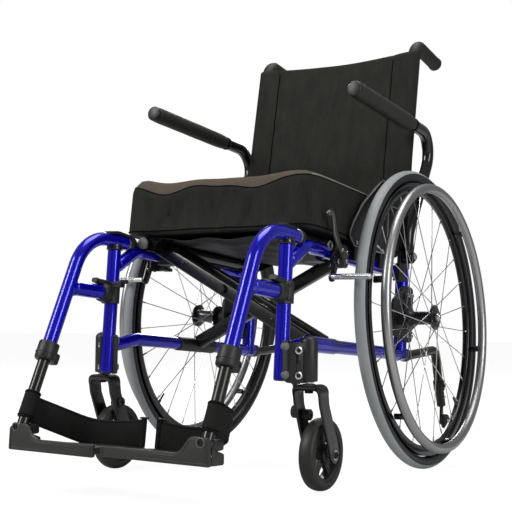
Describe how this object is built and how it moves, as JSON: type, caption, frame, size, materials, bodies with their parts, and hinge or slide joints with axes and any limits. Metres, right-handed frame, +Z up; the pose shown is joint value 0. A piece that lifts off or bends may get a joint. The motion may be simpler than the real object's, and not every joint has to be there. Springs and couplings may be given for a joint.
{
  "type": "folding wheelchair",
  "caption": "Self-propelled folding wheelchair with a scissor brace, swing-away legrests, flip-back arms, push handles and a seat cushion.",
  "frame": {"origin": "centre of the footprint on the floor, under the middle of the seat", "axes": "+X to the sitter's left, -Y the way the chair faces, +Z up"},
  "size_m": [0.6444, 1.0022, 0.9266],
  "materials": {
    "frame_blue": "gloss enamel",
    "black_plastic": "moulded",
    "rubber": "matt",
    "tyre_grey": "matt tread",
    "rim_black": "satin black",
    "silver": "satin",
    "dark_tube": "satin black",
    "fabric": "woven nylon"
  },
  "bodies": {
    "right_side": {"side_frame_right": "frame_blue", "seat_guide_right": "black_plastic", "axle_plate_right": "black_plastic", "castor_housing_right": "black_plastic", "back_cane_right": "dark_tube", "push_grip_right": "rubber", "arm_bracket_right": "black_plastic", "side_guard_right": "black_plastic", "lock_body_right": "black_plastic", "anti_tip_tube_right": "dark_tube", "back_upholstery": "fabric"},
    "left_side": {"side_frame_left": "frame_blue", "seat_guide_left": "black_plastic", "axle_plate_left": "black_plastic", "castor_housing_left": "black_plastic", "back_cane_left": "dark_tube", "push_grip_left": "rubber", "arm_bracket_left": "black_plastic", "side_guard_left": "black_plastic", "lock_body_left": "black_plastic", "anti_tip_tube_left": "dark_tube"},
    "brace_a": {"cross_arm_a": "black_plastic", "brace_bolt": "silver"},
    "brace_b": {"cross_arm_b": "black_plastic"},
    "seat": {"seat_sling": "fabric", "cushion": "fabric"},
    "rear_wheel_left": {"tyre_left": "tyre_grey", "rim_left": "rim_black", "handrim_left": "silver", "hub_and_spokes_left": "black_plastic"},
    "rear_wheel_right": {"tyre_right": "tyre_grey", "rim_right": "rim_black", "handrim_right": "silver", "hub_and_spokes_right": "black_plastic"},
    "castor_left": {"castor_fork_left": "black_plastic"},
    "castor_right": {"castor_fork_right": "black_plastic"},
    "castor_roller_left": {"castor_wheel_left": "rubber"},
    "castor_roller_right": {"castor_wheel_right": "rubber"},
    "arm_left": {"arm_tube_left": "dark_tube", "arm_pad_left": "rubber"},
    "arm_right": {"arm_tube_right": "dark_tube", "arm_pad_right": "rubber"},
    "lever_left": {"lock_lever_left": "black_plastic"},
    "lever_right": {"lock_lever_right": "black_plastic"},
    "shoe_left": {"lock_shoe_left": "silver"},
    "shoe_right": {"lock_shoe_right": "silver"},
    "legrest_left": {"hanger_left": "frame_blue", "height_collar_left": "black_plastic", "hanger_latch_left": "black_plastic"},
    "legrest_right": {"hanger_right": "frame_blue", "height_collar_right": "black_plastic", "hanger_latch_right": "black_plastic"},
    "footrest_left": {"footrest_tube_left": "dark_tube", "heel_loop_left": "fabric"},
    "footrest_right": {"footrest_tube_right": "dark_tube", "heel_loop_right": "fabric"},
    "plate_left": {"footplate_left": "black_plastic"},
    "plate_right": {"footplate_right": "black_plastic"},
    "tip_roller_left": {"anti_tip_wheel_left": "rubber"},
    "tip_roller_right": {"anti_tip_wheel_right": "rubber"}
  },
  "joints": [
    {"name": "fold", "type": "hinge", "parent": "right_side", "child": "brace_a", "pos_m": [-0.19, 0.02418, 0.23913], "axis": [0, -0.9976, 0.0698], "range_deg": [0, 42], "deforming": ["seat_sling", "cushion", "back_upholstery", "heel_loop_left", "heel_loop_right"]},
    {"name": "brace_cross", "type": "hinge", "parent": "brace_a", "child": "brace_b", "pos_m": [0, 0.03112, 0.33839], "axis": [0, -0.9976, 0.0698], "range_deg": [-84, 0]},
    {"name": "brace_foot_left", "type": "hinge", "parent": "brace_b", "child": "left_side", "pos_m": [0.19, 0.02418, 0.23913], "axis": [0, -0.9976, 0.0698], "range_deg": [0, 42]},
    {"name": "seat_level", "type": "hinge", "parent": "brace_a", "child": "seat", "pos_m": [0, 0.03112, 0.33839], "axis": [0, -0.9976, 0.0698], "range_deg": [-42, 0]},
    {"name": "legrest_swing_left", "type": "hinge", "parent": "left_side", "child": "legrest_left", "pos_m": [0.19, -0.24858, 0.42411], "axis": [0, 0.0698, 0.9976], "range_deg": [0, 84]},
    {"name": "legrest_swing_right", "type": "hinge", "parent": "right_side", "child": "legrest_right", "pos_m": [-0.19, -0.24858, 0.42411], "axis": [0, -0.0698, -0.9976], "range_deg": [0, 84]},
    {"name": "footrest_height_left", "type": "slide", "parent": "legrest_left", "child": "footrest_left", "axis": [0, 0.4067, 0.9135], "range_m": [0, 0.05]},
    {"name": "footrest_height_right", "type": "slide", "parent": "legrest_right", "child": "footrest_right", "axis": [0, 0.4067, 0.9135], "range_m": [0, 0.05]},
    {"name": "footplate_flip_left", "type": "hinge", "parent": "footrest_left", "child": "plate_left", "pos_m": [0.189, -0.49207, 0.11], "axis": [0, 1, 0], "range_deg": [0, 92], "deforming": ["heel_loop_left"]},
    {"name": "footplate_flip_right", "type": "hinge", "parent": "footrest_right", "child": "plate_right", "pos_m": [-0.189, -0.49207, 0.11], "axis": [0, -1, 0], "range_deg": [0, 92], "deforming": ["heel_loop_right"]},
    {"name": "rear_wheel_spin_left", "type": "hinge", "parent": "left_side", "child": "rear_wheel_left", "pos_m": [0.264, 0.18393, 0.30164], "axis": [0.9988, 0, 0.0489], "continuous": true},
    {"name": "rear_wheel_spin_right", "type": "hinge", "parent": "right_side", "child": "rear_wheel_right", "pos_m": [-0.264, 0.18393, 0.30164], "axis": [-0.9988, 0, 0.0489], "continuous": true},
    {"name": "castor_swivel_left", "type": "hinge", "parent": "left_side", "child": "castor_left", "pos_m": [0.227, -0.23207, 0.2], "axis": [0, 0, 1], "continuous": true},
    {"name": "castor_swivel_right", "type": "hinge", "parent": "right_side", "child": "castor_right", "pos_m": [-0.227, -0.23207, 0.2], "axis": [0, 0, 1], "continuous": true},
    {"name": "castor_roll_left", "type": "hinge", "parent": "castor_left", "child": "castor_roller_left", "pos_m": [0.227, -0.18507, 0.063], "axis": [1, 0, 0], "continuous": true},
    {"name": "castor_roll_right", "type": "hinge", "parent": "castor_right", "child": "castor_roller_right", "pos_m": [-0.227, -0.18507, 0.063], "axis": [1, 0, 0], "continuous": true},
    {"name": "arm_flip_left", "type": "hinge", "parent": "left_side", "child": "arm_left", "pos_m": [0.2235, 0.20683, 0.42835], "axis": [-1, 0, 0], "range_deg": [0, 80]},
    {"name": "arm_flip_right", "type": "hinge", "parent": "right_side", "child": "arm_right", "pos_m": [-0.2235, 0.20683, 0.42835], "axis": [-1, 0, 0], "range_deg": [0, 80]},
    {"name": "lock_lever_left_turn", "type": "hinge", "parent": "left_side", "child": "lever_left", "pos_m": [0.2098, -0.07045, 0.41967], "axis": [1, 0, 0], "range_deg": [0, 35]},
    {"name": "lock_lever_right_turn", "type": "hinge", "parent": "right_side", "child": "lever_right", "pos_m": [-0.2098, -0.07045, 0.41967], "axis": [1, 0, 0], "range_deg": [0, 35]},
    {"name": "lock_shoe_left_turn", "type": "hinge", "parent": "left_side", "child": "shoe_left", "pos_m": [0.2098, -0.10577, 0.40209], "axis": [1, 0, 0], "range_deg": [0, 14]},
    {"name": "lock_shoe_right_turn", "type": "hinge", "parent": "right_side", "child": "shoe_right", "pos_m": [-0.2098, -0.10577, 0.40209], "axis": [1, 0, 0], "range_deg": [0, 14]},
    {"name": "anti_tip_roll_left", "type": "hinge", "parent": "left_side", "child": "tip_roller_left", "pos_m": [0.19, 0.48463, 0.06459], "axis": [1, 0, 0], "continuous": true},
    {"name": "anti_tip_roll_right", "type": "hinge", "parent": "right_side", "child": "tip_roller_right", "pos_m": [-0.19, 0.48463, 0.06459], "axis": [1, 0, 0], "continuous": true}
  ],
  "couplings": [
    {"joint": "brace_cross", "follows": "fold", "ratio": -2},
    {"joint": "brace_foot_left", "follows": "fold", "ratio": 1},
    {"joint": "seat_level", "follows": "fold", "ratio": -1},
    {"joint": "legrest_swing_left", "follows": "fold", "ratio": 2},
    {"joint": "legrest_swing_right", "follows": "fold", "ratio": 2},
    {"joint": "lock_shoe_left_turn", "follows": "lock_lever_left_turn", "ratio": 0.4},
    {"joint": "lock_shoe_right_turn", "follows": "lock_lever_right_turn", "ratio": 0.4}
  ]
}
